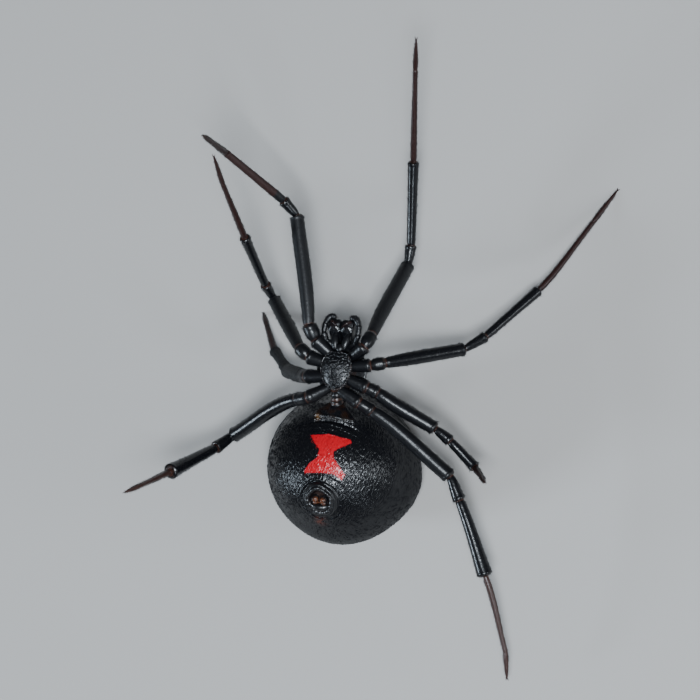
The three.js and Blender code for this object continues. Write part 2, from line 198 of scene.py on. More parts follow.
def smooth_piece(name, points, faces, marks):
    """A smooth mesh through points in millimetres. marks are numbers for each point, kept on the
    mesh for the paint."""
    mesh = bpy.data.meshes.new(name)
    mesh.from_pydata((points * MM).tolist(), [], faces)
    mesh.polygons.foreach_set("use_smooth", [True] * len(mesh.polygons))
    for mark, values in marks.items():
        kept = mesh.attributes.new(mark, "FLOAT", "POINT")
        kept.data.foreach_set("value", values.astype(np.float32))
    mesh.update()
    piece = bpy.data.objects.new(name, mesh)
    bpy.context.scene.collection.objects.link(piece)
    return piece


def closed_skin(name, rings, **marks):
    """A closed smooth piece through rings of points, its two ends closed by fans."""
    count, sides = rings.shape[:2]
    points = np.concatenate((rings.reshape(-1, 3), rings[[0, -1]].mean(1)))
    start, end, last = count * sides, count * sides + 1, (count - 1) * sides
    neighbours = [(j, (j + 1) % sides) for j in range(sides)]
    faces = [(i + j, i + k, i + sides + k, i + sides + j)
             for i in range(0, last, sides) for j, k in neighbours]
    for j, k in neighbours:
        faces += [(start, k, j), (end, last + j, last + k)]
    marks = {mark: np.concatenate((values.ravel(), values[[0, -1]].mean(1)))
             for mark, values in marks.items()}
    return smooth_piece(name, points, faces, marks)


class Wire:
    """The output of a shader node. Sums and products of wires add Math nodes to their tree."""

    def __init__(self, tree, socket=None):
        self.tree = tree
        self.socket = socket

    def node(self, kind, settings=None, inputs=None, output=0):
        """Adds a node: its settings first, then the values or wires of its sockets."""
        made = self.tree.nodes.new("ShaderNode" + kind)
        for name, value in (settings or {}).items():
            setattr(made, name, value)
        for name, value in (inputs or {}).items():
            if isinstance(value, Wire):
                self.tree.links.new(value.socket, made.inputs[name])
            else:
                made.inputs[name].default_value = value
        return Wire(self.tree, made.outputs[output])

    def math(self, operation, first, second):
        return self.node("Math", {"operation": operation}, {0: first, 1: second})

    def __add__(self, other):
        return self.math("ADD", self, other)

    def __sub__(self, other):
        return self.math("SUBTRACT", self, other)

    def __rsub__(self, other):
        return self.math("SUBTRACT", other, self)

    def __mul__(self, other):
        return self.math("MULTIPLY", self, other)

    __radd__ = __add__
    __rmul__ = __mul__


def mark_of(tree, name):
    """A mark kept on the mesh, as a wire."""
    return Wire(tree).node("Attribute", {"attribute_name": name}, output="Fac")


def noise(tree, size, detail=2.0, stretch=(1, 1, 1)):
    """Noise of about that size in millimetres over the piece, drawn out along an axis."""
    place = Wire(tree).node("TexCoord", output="Object")
    drawn = place.node("Mapping", inputs={"Vector": place, "Scale": stretch})
    inputs = {"Vector": drawn, "Scale": 1 / (size * MM), "Detail": detail}
    return place.node("TexNoise", inputs=inputs)


def step(value, low, high):
    """0 below low and 1 above high, smooth between them, for a wire."""
    return value.node("MapRange", {"interpolation_type": "SMOOTHSTEP"},
                      {"Value": value, "From Min": low, "From Max": high})


def mixed(mask, first, second):
    """The first colour where the mask is 0 and the second where it is 1."""
    return mask.node("Mix", {"data_type": "RGBA"}, {0: mask, 6: first, 7: second}, output=2)


def relief(height, depth):
    """Small relief in the surface, depth in millimetres."""
    return height.node("Bump", inputs={"Height": height, "Distance": depth * MM, "Strength": 1.0})


def paint(name, **constants):
    """A new material, its shader's constants set by socket name."""
    material = bpy.data.materials.new(name)
    material.use_nodes = True
    shader = material.node_tree.nodes["Principled BSDF"]
    for socket, value in constants.items():
        shader.inputs[socket.replace("_", " ")].default_value = value
    return material


def feed(material, **wires):
    """Links wires to the sockets of a material's shader."""
    shader = material.node_tree.nodes["Principled BSDF"]
    for socket, wire in wires.items():
        material.node_tree.links.new(wire.socket, shader.inputs[socket.replace("_", " ")])


def fit(piece, material, slot, *nodes):
    """Paints a piece, fixes it to the body and lets it stand for its solid nodes."""
    piece.data.materials.append(material)
    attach(piece, "root")
    if nodes:
        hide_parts(*nodes)


black = (0.0030, 0.0032, 0.0042, 1)
hourglass_red = (0.40, 0.0045, 0.011, 1)
# the width in millimetres over which the hourglass ends, and how far its edge strays
hourglass_fade, hourglass_stray = 0.03, 0.12
# the plate's own brown, and a paler grey painted on its ridges as a highlight
plate_brown, ridge_highlight_grey = (0.012, 0.0055, 0.0035, 1), (0.018, 0.015, 0.014, 1)
gold_spot, rust_spot = (0.16, 0.075, 0.022, 1), (0.11, 0.022, 0.01, 1)
belly_roughness, flank_dulling = 0.23, 0.34
# the fine dashes in the skin: their width, how much longer they are, and their height
dash_width, dash_draw, dash_height = 0.105, 0.4, 0.022

abdomen_paint = paint("abdomen_lacquer", Roughness=belly_roughness, Specular_IOR_Level=0.3)
tree = abdomen_paint.node_tree
ragged = mark_of(tree, "hourglass") + (noise(tree, 0.12, 3) - 0.5) * hourglass_stray
in_hourglass = step(ragged, -hourglass_fade, hourglass_fade)
mottle = noise(tree, 0.5, 4)
colour = mixed(mark_of(tree, "plate"), black, mixed(step(mottle, 0.4, 0.65), black, plate_brown))
# the ridges round the plate are painted paler grey in patches: a painted highlight along them
colour = mixed(mark_of(tree, "ridge") * step(mottle, 0.45, 0.6), colour, ridge_highlight_grey)
colour = mixed(mark_of(tree, "gold") * step(mottle, 0.3, 0.6), colour, gold_spot)
colour = mixed(mark_of(tree, "rust") * step(mottle, 0.35, 0.6), colour, rust_spot)
colour = mixed(in_hourglass, colour, hourglass_red)
belly = mark_of(tree, "belly")
lie = {0: mark_of(tree, "lie_x"), 1: mark_of(tree, "lie_y") * dash_draw, 2: mark_of(tree, "lie_z")}
lie = Wire(tree).node("CombineXYZ", inputs=lie)
dashes = lie.node("TexNoise", inputs={"Vector": lie, "Scale": abdomen_radius / dash_width,
                                      "Detail": 1.0})
stipple = step(dashes, 0.3, 0.7) * (0.1 + 0.9 * belly)
dull = 1 - step(belly, 0.1, 0.8)
feed(abdomen_paint, Base_Color=colour, Roughness=belly_roughness + flank_dulling * dull,
     Normal=relief(stipple, dash_height))

tail_axis = towards(*tail_place)
tail_side = unit(np.cross((0, 1, 0), tail_axis))
tail_fore = np.cross(tail_axis, tail_side)
# the rings of the mesh, in degrees from the tail, lie closest at the folds and the furrow
ring_angles = np.concatenate((np.arange(0.4, 30, 0.4), np.arange(30, 45, 0.75),
                              np.arange(45, 76, 0.38), np.arange(76, 179.8, 1.3)))
polar, about = np.meshgrid(np.radians(ring_angles), turns_of(300), indexing="ij")
globe = (np.cos(polar)[..., None] * tail_axis + (np.sin(polar) * np.cos(about))[..., None] * tail_side
         + (np.sin(polar) * np.sin(about))[..., None] * tail_fore)
fit(closed_skin("abdomen_skin", abdomen_points(globe), **abdomen_marks(globe)), abdomen_paint,
    "abdomen_black", "abdomen")


# Spinnerets. At the tail three pairs of short blunt spinnerets and a small round tail knob stand
# in the sunken middle of a hard ringed cone. They are dark with paler orange-brown tips, and
# grow out of the skin of the abdomen.

cone_radius, cone_height, cone_sink = 1.1, 0.30, 0.1
both_sides = ((1, "left"), (-1, "right"))
tip_brown = (0.10, 0.030, 0.010, 1)
tail_foot = float(skin_radius(tail_axis[None])[0]) - cone_sink


def tail_points(places):
    """Points given to her left, forward and outward of the foot of the cone, in the frame."""
    places = np.asarray(places, float)
    axes = np.stack((tail_side, tail_fore, tail_axis))
    return (places @ axes + tail_axis * tail_foot) @ abdomen_turn.T + abdomen_centre


def tube(stations, sides=28):
    """Rings of points square to the way ahead, turned as little as can be from one to the next."""
    across = np.cross(stations[0][1], (0.3, 0.2, 1.0))
    turns = turns_of(sides)[:, None]
    rings = []
    for point, ahead, radius, *_ in stations:
        across = unit(across - (across @ ahead) * ahead)
        other = np.cross(ahead, across)
        rings.append(point + radius * (np.cos(turns) * across + np.sin(turns) * other))
    return np.array(rings)


def rounded_tube(points, girths, sides=24, steps=40):
    """Stations along a smooth line through points, with the girths spread evenly along it."""
    points = np.asarray(points, float)
    padded = np.vstack((2 * points[0] - points[1], points, 2 * points[-1] - points[-2]))
    line = []
    for spot in np.linspace(0, len(points) - 1, steps):
        k = min(int(spot), len(points) - 2)
        t = spot - k
        a, b, c, d = padded[k:k + 4]
        line.append(0.5 * (2 * b + (c - a) * t + (2 * a - 5 * b + 4 * c - d) * t ** 2
                           + (3 * b - a - 3 * c + d) * t ** 3))
    radii = np.interp(np.linspace(0, 1, steps), np.linspace(0, 1, len(girths)), girths)
    return tube(list(zip(line, unit(np.gradient(line, axis=0)), radii)), sides)


def shares_along(rings):
    """For every point of a tube its share of the way along, from 0 to 1."""
    return np.linspace(0, 1, len(rings))[:, None] * np.ones(rings.shape[:2])


# the cone from its edge to its middle: not quite round, and folded deeper on some sides
radii = cone_radius * np.concatenate(((1.06, 1.06), np.linspace(1.06, 0.02, 60)))
reach, spoke = np.meshgrid(radii, turns_of(96), indexing="ij")
share = reach / cone_radius * (1 + 0.05 * np.sin(2 * spoke + 0.6) + 0.035 * np.sin(5 * spoke + 2))
folded = 0.65 + 0.35 * np.sin(spoke + 0.4) + 0.2 * np.sin(3 * spoke)
# its wall and the groove inside that, the ridge and the sunken middle, and the fine creases
height = cone_height * ramp(-share, -1.05, -0.9) - 0.1 * folded * hump(share - 0.88, 0.05)
height += 0.07 * folded * hump(share - 0.75, 0.09) - 0.2 * ramp(-share, -0.66, -0.48)
height += 0.02 * np.sin(spoke * 17 + 3 * share) * hump(share - 0.72, 0.14)
# its foot is sunk in the skin
height[:2] = -0.35
tail_ring = np.stack((reach * np.cos(spoke), reach * np.sin(spoke), height), -1)
cone_paint = paint("tail_cuticle", Roughness=0.3)
tree = cone_paint.node_tree
tips = mark_of(tree, "tips") * step(noise(tree, 0.2, 3), 0.25, 0.6)
feed(cone_paint, Base_Color=mixed(tips, black, tip_brown),
     Normal=relief(noise(tree, 0.08, 2), 0.012))
fit(closed_skin("tail_cone", tail_points(tail_ring), tips=0.35 * hump(share, 0.4)), cone_paint,
    "cuticle_brown", "spinnerets")

# the front pair is the stoutest, the middle pair is small, and all lean in to the middle; each
# row gives the place to a side and forward, the girth and the height
spinneret_rows = {"front": (0.28, 0.14, 0.25, 0.36), "middle": (0.1, -0.1, 0.1, 0.2),
                  "rear": (0.3, -0.16, 0.2, 0.16)}
spinneret_girths = np.array((1, 1.02, 1, 0.94, 0.85, 0.8, 0.66, 0.2))
spinneret_lean = 0.62
for row, (aside, fore, girth, rise) in spinneret_rows.items():
    for side, word in both_sides:
        line = [(side * aside, fore, 0.0), (side * aside, fore, 0.5 * rise + 0.05),
                (side * aside * spinneret_lean, fore * spinneret_lean, rise + 0.12)]
        rings = rounded_tube(tail_points(line), girth * spinneret_girths)
        tips = ramp(shares_along(rings), 0.5, 0.85)
        fit(closed_skin(f"spinneret_{row}_{word}", rings, tips=tips), cone_paint, "cuticle_brown")
knob_line = [(-0.62, -0.2, 0.02), (-0.42, -0.36, 0.16), (0, -0.45, 0.22), (0.42, -0.36, 0.16),
             (0.62, -0.2, 0.02)]
knob_girths = (0.05, 0.13, 0.18, 0.22, 0.24, 0.24, 0.22, 0.18, 0.13, 0.05)
knob = rounded_tube(tail_points(knob_line), knob_girths)
fit(closed_skin("tail_knob", knob), cone_paint, "cuticle_brown")


# Waist. A short hollow stalk of soft skin, stiffened by two thin dark plates, that carries the
# abdomen behind the last hips.

sternum_centre = np.array((-1.72, -2.04, 9.73))
head_turn = np.array(Matrix.Rotation(math.radians(2.5), 3, "Z"))


def head_points(places):
    """Points given to her left, forward and above the middle of the breastplate, in the frame."""
    return np.asarray(places, float) @ head_turn.T + sternum_centre


waist_sink = 0.3
waist_brown = (0.045, 0.018, 0.01, 1)
waist_girths = (0.42, 0.4, 0.36, 0.4, 0.35, 0.41, 0.38, 0.44, 0.46)
waist_front = head_points((-0.06, -0.95, -0.9))
waist_rear = abdomen_points(towards(*shoulder_place), -waist_sink)
waist_line = [waist_front, 0.5 * (waist_front + waist_rear), waist_rear]
waist = rounded_tube(waist_line, waist_girths, 40, 80)
waist_paint = paint("waist_cuticle", Roughness=0.34)
tree = waist_paint.node_tree
lumps = noise(tree, 0.25, 3, (0.4, 1.4, 1))
feed(waist_paint, Base_Color=mixed(step(lumps, 0.45, 0.7), black, waist_brown),
     Normal=relief(lumps, 0.05))
fit(closed_skin("waist_skin", waist), waist_paint, "cuticle_brown", "pedicel")


# Front body. The domed shield of the back lies below, the flat pitted breastplate above, both
# hard and glossy, and a band of dark soft skin between them carries the hips.

shield_length, shield_middle, shield_edge = 3.84, 0.5, -1.25
chest_width, head_width = 1.7, 1.0
chest_depth, head_depth = 1.18, 1.4
rim_lift, groove_depth, pit_depth, pit_rear, ray_depth = 0.12, 0.06, 0.16, 0.25, 0.045


def shield_ring(y, fullness, sides=96):
    """A ring round the shield at a place along it. Its lower half is the domed back."""
    turns = turns_of(sides)
    headward = ramp(y, 0.55, 1.8)
    width = chest_width + (head_width - chest_width) * headward
    depth = chest_depth + (head_depth - chest_depth) * headward
    below = np.sin(turns) < 0
    x = np.cos(turns) * fullness * width
    z = np.sin(turns) * fullness * np.where(below, depth, rim_lift)
    # the groove between head and chest, the pit in the middle of the back and the grooves from it
    dome = np.where(below, -np.sin(turns), 0)
    neck = hump(y - 0.75 + 0.5 * np.abs(x), 0.16) * ramp(dome, 0.1, 0.6)
    from_pit = y + pit_rear
    pit = hump(np.hypot(x / 0.5, from_pit / 0.22), 1)
    spokes = 0.5 + 0.5 * np.cos(np.arctan2(x, from_pit) * 8)
    away = np.hypot(x, from_pit)
    rays = spokes ** 6 * ramp(away, 0.3, 0.6) * ramp(-y, -0.7, -0.3) * ramp(dome, 0.05, 0.4)
    z = z + groove_depth * neck * dome + pit_depth * pit * dome + ray_depth * rays
    return np.stack((x, np.full(sides, y), z + shield_edge), -1)


shield_rings = [
    shield_ring(shield_middle - math.cos(polar) * shield_length / 2, math.sin(polar) ** 0.75)
    for polar in np.radians(np.linspace(1.5, 178.5, 90))]
shield_paint = paint("shield_lacquer", Base_Color=black, Roughness=0.34, Specular_IOR_Level=0.4)
feed(shield_paint, Normal=relief(noise(shield_paint.node_tree, 0.14, 3), 0.015))
fit(closed_skin("shield", head_points(shield_rings)), shield_paint, "cuticle_black",
    "cephalothorax")

# the breastplate's half width and its front and rear ends, the rear one a little to her left;
# then how high it rises, and where it is highest
wide, front, rear, skew = 1.04, 1.24, -1.27, 0.1
breastplate_dome, breastplate_top = 0.40, np.array((-0.3, 0.3))
# a paler grey painted in patches along the edge of the plate: a painted highlight on its bead
edge_highlight_grey = (0.035, 0.026, 0.024, 1)


def pulled(start, pull, end, share):
    """A point on the curve from start to end that bends towards pull."""
    return (1 - share) ** 2 * start + 2 * share * (1 - share) * pull + share ** 2 * end


# the shield-shaped outline of the breastplate, from its rear point round to it again
corners = np.array(((skew, rear), (0.97 * wide, -0.1 * front), (0.56 * wide, 0.94 * front),
                    (-0.56 * wide, 0.94 * front), (-0.97 * wide, -0.1 * front), (skew, rear)))
pulls = np.array(((0.8 * wide, 0.93 * rear), (1.12 * wide, 0.55 * front), (0, 1.06 * front),
                  (-1.12 * wide, 0.55 * front), (-0.74 * wide, 0.86 * rear)))
outline = np.array([pulled(start, pull, end, share)
                    for start, pull, end in zip(corners, pulls, corners[1:])
                    for share in np.arange(18) / 18])


def outline_ring(size, height, shift=0):
    """The outline in another size, at a height."""
    return np.column_stack((outline * size + shift, np.full(len(outline), height)))


# the plate is built up of its outline in smaller and smaller sizes: the size and the height
levels = [(0.9, -0.5), (0.99, -0.36), (1.0, -0.27)]
for inward in np.linspace(0, 1, 48)[:-1]:
    bead = 0.035 * hump(inward - 0.05, 0.03) - 0.03 * hump(inward - 0.11, 0.03)
    levels.append((1 - inward, -0.22 + bead + breastplate_dome * (1 - (1 - inward) ** 1.35)))
plate_rings = [outline_ring(size, z, breastplate_top * (1 - min(size / 0.99, 1)))
               for size, z in levels]
edge_mark = np.outer([hump(1 - size - 0.03, 0.025) for size, _ in levels], np.ones(len(outline)))
plate_paint = paint("breastplate_lacquer", Roughness=0.24, Specular_IOR_Level=0.45)
tree = plate_paint.node_tree
pits = step(noise(tree, 0.16, 1), 0.38, 0.6)
patchy = step(noise(tree, 0.3, 3), 0.42, 0.62)
# the edge is painted paler in patches, a painted highlight along the bead
feed(plate_paint, Base_Color=mixed(mark_of(tree, "edge") * patchy, black, edge_highlight_grey),
     Normal=relief(pits, 0.04))
fit(closed_skin("breastplate", head_points(plate_rings), edge=edge_mark), plate_paint,
    "cuticle_black")

band_levels = ((0.8, -1.45), (1.02, -1.3), (1.0, -1.1), (0.95, -0.9), (0.94, -0.6), (0.97, -0.42),
               (0.98, -0.34), (0.9, -0.28))
band = head_points([outline_ring(*level) for level in band_levels])
band_paint = paint("hip_skin", Base_Color=(0.012, 0.006, 0.005, 1), Roughness=0.5)
fit(closed_skin("hip_band", band), band_paint, "cuticle_black")


# Eyes. Two rows of four small domes are set in the front of the shield. They are clear and as
# hard as glass, over a dark ground.

def ball(centre, radii, turn=0.0, lean=0.0, sides=28, count=18):
    """Rings of an oval body: radii across, along and up, turned flat and leaned nose down."""
    polar = np.radians(np.linspace(3, 177, count))[:, None]
    about = turns_of(sides)[None]
    body = np.stack((np.sin(polar) * np.cos(about) * radii[0],
                     -np.cos(polar) * radii[1] + 0 * about,
                     np.sin(polar) * np.sin(about) * radii[2]), -1)
    pose = Matrix.Rotation(math.radians(turn), 3, "Z") @ Matrix.Rotation(math.radians(lean), 3, "X")
    return head_points(body @ np.array(pose).T + np.array(centre))


lens_paint = paint("eye_glass", Base_Color=(0.012, 0.008, 0.007, 1), Roughness=0.06, Coat_Weight=1.0,
                   Coat_Roughness=0.03)
eye_radius = 0.115
# by row: how far the inner and the outer eyes stand to a side, the place forward and up, and how
# far the outer ones are drawn back
eye_rows = {"front": (0.17, 0.58, 2.33, -1.72, 0.16), "rear": (0.2, 0.66, 2.14, -2.12, 0.2)}
for row, (inner, outer, y, z, back) in eye_rows.items():
    for side, word in both_sides:
        for spot, x, drawn_back in (("middle", inner, 0), ("side", outer, back)):
            eye = ball((side * x, y - drawn_back, z), (eye_radius,) * 3, sides=20, count=12)
            fit(closed_skin(f"eye_{row}_{spot}_{word}", eye), lens_paint, "eye_lens")


# Jaws. Two stout bases hang side by side below the eyes; each carries a short hooked fang that
# folds in along its underside. The bases are black and hard, the fangs dark red-brown.

fang_brown = (0.013, 0.0045, 0.004, 1)
jaw_girths = (0.34, 0.4, 0.44, 0.45, 0.45, 0.45, 0.45, 0.45, 0.45, 0.44, 0.42, 0.35, 0.15)
jaw_squareness = 0.11
fang_girths = (0.11, 0.11, 0.1, 0.085, 0.065, 0.04, 0.012)
jaw_paint = paint("jaw_cuticle", Roughness=0.27, Specular_IOR_Level=0.4)
tree = jaw_paint.node_tree
tint = mixed(mark_of(tree, "tips"), black, fang_brown)
feed(jaw_paint, Base_Color=tint, Normal=relief(noise(tree, 0.18, 2), 0.02))
for side, word in both_sides:
    # the two stand a little to her right of the middle
    line = [(side * 0.37 - 0.03, 1.7, -1.5), (side * 0.40 - 0.05, 2.2, -1.05),
            (side * 0.41 - 0.07, 2.62, -0.66), (side * 0.42 - 0.06, 2.82, -0.3),
            (side * 0.42 - 0.06, 2.86, -0.02)]
    rings = rounded_tube(head_points(line), jaw_girths, 40, 80)
    # a little square across, so that the two lie flat against each other
    middles = rings.mean(1, keepdims=True)
    corner = np.arctan2(rings[..., 1] - middles[..., 1], rings[..., 0] - middles[..., 0])
    squared = 0.97 + jaw_squareness * (1 - np.cos(4 * corner))
    rings = middles + (rings - middles) * squared[..., None]
    jaw = closed_skin(f"jaw_{word}", rings, tips=0.2 * ramp(shares_along(rings), 0.9, 1))
    fit(jaw, jaw_paint, "cuticle_black", f"chelicera_{word}")
    hook = [(side * 0.6 - 0.05, 3.06, -0.38), (side * 0.62 - 0.05, 3.08, -0.14),
            (side * 0.46 - 0.05, 2.98, 0.06), (side * 0.14 - 0.05, 2.7, 0.09)]
    rings = rounded_tube(head_points(hook), fang_girths, 20, 40)
    fang = closed_skin(f"fang_{word}", rings, tips=np.ones(rings.shape[:2]))
    fit(fang, jaw_paint, "cuticle_black")


# Mouth. The small lip is fixed to the front edge of the breastplate, and a lobe of each palp's
# base lies on either side of it. All three are hard, and black as the shield.

lip = ball((0.06, 1.44, -0.2), (0.24, 0.27, 0.16), lean=-8)
fit(closed_skin("lip", lip), shield_paint, "cuticle_black", "mouthparts")
for side, word in both_sides:
    lobe = ball((side * 0.37, 1.86, -0.36), (0.27, 0.58, 0.25), turn=side * -10, lean=-4)
    fit(closed_skin(f"mouth_lobe_{word}", lobe), shield_paint, "cuticle_black")


# Palps. Two short feelers arch round the jaws and curl in before them. Like the legs they are
# tubes joined by soft rings, and each ends in one small claw.

palp_paint = paint("palp_cuticle", Base_Color=black, Roughness=0.36, Specular_IOR_Level=0.4)
feed(palp_paint, Normal=relief(noise(palp_paint.node_tree, 0.16, 1), 0.03))
# her left palp from its base to its tip; it narrows at each soft ring
palp_line = ((0.5, 1.6, -0.75), (0.95, 1.88, -0.5), (1.14, 2.3, -0.3), (1.13, 2.78, -0.3),
             (1.02, 3.14, -0.3), (0.8, 3.38, -0.3), (0.46, 3.37, -0.3))
palp_girths = (0.22, 0.22, 0.2, 0.15, 0.18, 0.19, 0.2, 0.15, 0.17, 0.19, 0.2, 0.16, 0.18, 0.2,
               0.21, 0.21, 0.2, 0.19, 0.17, 0.09)
palp_forms = {}
for side, word in both_sides:
    line = [(side * x - 0.02, y, z) for x, y, z in palp_line]
    rings = rounded_tube(head_points(line), palp_girths, 28, 140)
    palp_forms[word] = rings
    fit(closed_skin(f"palp_skin_{word}", rings), palp_paint, "cuticle_black", f"palp_{word}")


# Legs. Eight chains of thin hard tubes, black on the hips, thighs and shins and dark red-brown
# on the feet, joined by narrow bands of soft skin. Each tube swells to a rim at its far end,
# and the next one starts narrow inside it. Each leg is one skin from the hip to the claws.

leg_parts = ("coxa", "trochanter", "femur", "patella", "tibia", "metatarsus", "tarsus")
# by pair from the front: the hip beside the breastplate, and the length of every part
leg_pairs = (
    ((0.95, 1.22, -0.58), (1.0, 1.05, 7.0, 1.3, 5.5, 6.4, 2.2)),
    ((1.08, 0.46, -0.60), (1.05, 0.9, 5.35, 1.6, 4.8, 5.75, 2.6)),
    ((1.05, -0.46, -0.62), (1.05, 0.75, 4.25, 1.2, 2.3, 2.9, 1.35)),
    ((0.78, -1.32, -0.64), (1.05, 0.95, 6.35, 1.55, 5.0, 4.95, 1.7)),
)
# the pose: heading round from her left side and climb above level, in degrees, part by part
leg_poses = {
    "leg1_left": ((36, 27), (84, -33), (93, -42), (89, 7), (90, 24), (85, 35), (81, 41)),
    "leg2_left": ((13, -4), (21, -18), (26, -36), (48, -27), (60, -29), (67, -19), (67, -15)),
    "leg3_left": ((-15, -14), (-17, -22), (-23, -21), (-31, -20), (-39, -18), (-26, 57), (-28, 58)),
    "leg4_left": ((-24, -14), (-24, -21), (-33, -19), (-56, -15), (-63, -12), (-70, -20), (-84, -23)),
    "leg1_right": ((146, 14), (122, 17), (107, 2), (137, 34), (143, 55), (-9, 76), (-8, 77)),
    "leg2_right": ((170, 3), (146, -1), (138, -30), (101, 65), (95, 61), (86, 65), (87, 60)),
    "leg3_right": ((-173, -10), (175, -48), (169, -53), (148, -48), (147, -42), (132, -35), (132, -37)),
    "leg4_right": ((-142, 16), (-170, -26), (-152, -26), (-122, 37), (-112, 61), (-78, 73), (-105, 68)),
}
# radius from the near end of a part to its far end, at even steps
part_girths = {
    "coxa": (0.30, 0.36, 0.40, 0.43, 0.43), "trochanter": (0.33, 0.41, 0.44, 0.42, 0.37),
    "femur": (0.36, 0.43, 0.46, 0.46, 0.45, 0.43), "patella": (0.24, 0.30, 0.34, 0.36),
    "tibia": (0.27, 0.30, 0.31, 0.33, 0.36), "metatarsus": (0.19, 0.20, 0.18, 0.16, 0.15),
    "tarsus": (0.15, 0.16, 0.14, 0.11, 0.05),
}
pair_girths = (1, 0.94, 1, 1)
# where single legs or parts of them differ
right_hip_girth, hind_patella_girth, hind_shin_girth, hind_trochanter = 1.1, 1.12, 1.12, 0.42
thigh_root_swelling, thigh_end_swelling, shin_swelling, shin_thinning = 0.12, 0.1, 0.3, 0.36
# how far a part bows to a side in its near half, in millimetres
bows = {"leg1_left_femur": (-0.06, 0.03, 0), "leg1_right_femur": (0.09, 0, 0),
        "leg2_left_metatarsus": (0.08, -0.06, 0), "leg2_right_femur": (0.06, -0.04, 0),
        "leg3_left_femur": (-0.03, -0.05, 0), "leg4_left_femur": (0.1, 0.1, 0),
        "leg4_left_tibia": (0.05, 0.02, 0), "leg4_left_metatarsus": (0.07, 0.02, 0),
        "leg4_right_femur": (-0.1, 0.22, 0)}
bow_scale = 27 / 4
# the joint before the patella of leg 4 left stands out to a side by this much
knee_place, knee_shift = 3.1, (0.09, 0.12, 0)
# how deep a hip is set in, the share of a part that may bend at a joint, how much a tube swells
# at its rim and narrows in the one before, and how wide a rim is open
root_depth, bend_room, rim_swelling, neck_narrowing, rim_opening = 0.45, 0.4, 0.07, 0.08, 0.86
# where the lacquer is rubbed matt: the first part, the part where it ends, and how much
matt_parts = {"leg1_left": (2, 3, 1), "leg1_right": (2, 3, 1), "leg2_right": (2, 3, 1),
              "leg3_right": (2, 5, 2), "leg3_left": (2, 3, 0.3), "leg4_left": (2, 3, 0.5)}


def heading(azimuth, climb):
    """The way a part points, from the two angles of its pose."""
    a, c = math.radians(azimuth), math.radians(climb)
    return np.array((math.cos(a) * math.cos(c), math.sin(a) * math.cos(c), math.sin(c)))


def girth_at(pair, i, share, side=1):
    """Radius of part i of a leg, without the shapes of its ends."""
    part, hind = leg_parts[i], pair == 3
    girths = part_girths[part]
    curve = np.polyfit(np.linspace(0, 1, len(girths)), girths, len(girths) - 1)
    radius = np.polyval(curve, share) * (pair_girths[pair] if i < 5 else 1)
    if part == "trochanter" and pair > 1:
        radius = hind_trochanter
    elif part == "femur" and pair > 1:
        end_swelling = thigh_end_swelling * share ** 3 if hind else 0
        radius *= 1 + thigh_root_swelling * (1 - share) ** 3 + end_swelling
    elif part == "patella" and hind:
        radius *= hind_patella_girth
    elif part == "tibia" and hind:
        radius *= hind_shin_girth + shin_swelling * share
    elif part == "tibia" and pair == 0 and side < 0:
        radius *= 1 - shin_thinning * share
    if i < 2 and pair < 2 and side < 0:
        radius *= right_hip_girth
    return radius


def bent(corner, way, next_way, reach, past):
    """A point and the way ahead on the rounded bend at a joint, past its corner or before it."""
    share = 0.5 + 0.5 * past / reach
    point = pulled(corner - way * reach, corner, corner + next_way * reach, share)
    return point, (1 - share) * way + share * next_way


def leg_stations(name, pair, side):
    """Stations along a leg: point, way ahead, radius, and marks of soft skin, rim and part."""
    hip, lengths = leg_pairs[pair]
    ways = [heading(*pose) for pose in leg_poses[name]]
    joints = [sternum_centre + np.array(hip) * (side, 1, 1)]
    for way, length in zip(ways, lengths):
        joints.append(joints[-1] + way * length)
    joints[0] = joints[0] - ways[0] * root_depth
    lengths = (lengths[0] + root_depth,) + lengths[1:]
    reach = [0.0] * 8
    for i in range(1, 7):
        bend = math.acos(np.clip(ways[i - 1] @ ways[i], -1, 1))
        room = bend_room * min(lengths[i - 1], lengths[i])
        reach[i] = min(1.15 * girth_at(pair, i, 0) * math.tan(bend / 2), room) + 0.02
    stations = []
    for i, part in enumerate(leg_parts):
        length = lengths[i]
        # the stations lie closest at the two ends of a part
        ends = np.concatenate((np.arange(0, 0.14, 0.02), np.arange(0.14, 0.5, 0.04)))
        middle = np.linspace(0.5, length - 0.5, int(length / 0.16) + 2)
        spots = np.concatenate((ends, middle, length - ends)).clip(0, length).round(3)
        for spot in np.unique(spots):
            share, left = spot / length, length - spot
            point, ahead = joints[i] + ways[i] * spot, ways[i]
            for j, past in ((i, spot), (i + 1, -left)):
                if abs(past) < reach[j]:
                    point, ahead = bent(joints[j], ways[j - 1], ways[j], reach[j], past)
            aside = np.array(bows.get(f"{name}_{part}", (0, 0, 0)))
            point = point + aside * bow_scale * share * (1 - share) ** 2
            if name == "leg4_left":
                point = point + np.array(knee_shift) * hump(i + share - knee_place, 0.6)
            radius = girth_at(pair, i, share, side)
            soft = rim = 0.0
            if i > 0:
                radius *= 1 - neck_narrowing * hump(spot, 0.14)
                soft = float(ramp(-spot, -0.05, -0.02))
            if i < 6:
                radius *= 1 + rim_swelling * hump(left - 0.16, 0.1)
                socket = min((1 - neck_narrowing) * girth_at(pair, i + 1, 0), rim_opening * radius)
                rim_length = max(0.1, 0.8 * (radius - socket))
                if left < rim_length:
                    turned = 1 - left / rim_length
                    radius = socket + (radius - socket) * math.sqrt(1 - turned ** 2)
                    soft = float(ramp(turned, 0.9, 1.0))
                rim = float(hump(left - 0.06, 0.05))
            stations.append((point, unit(ahead), radius, soft, rim, i + share))
    return stations


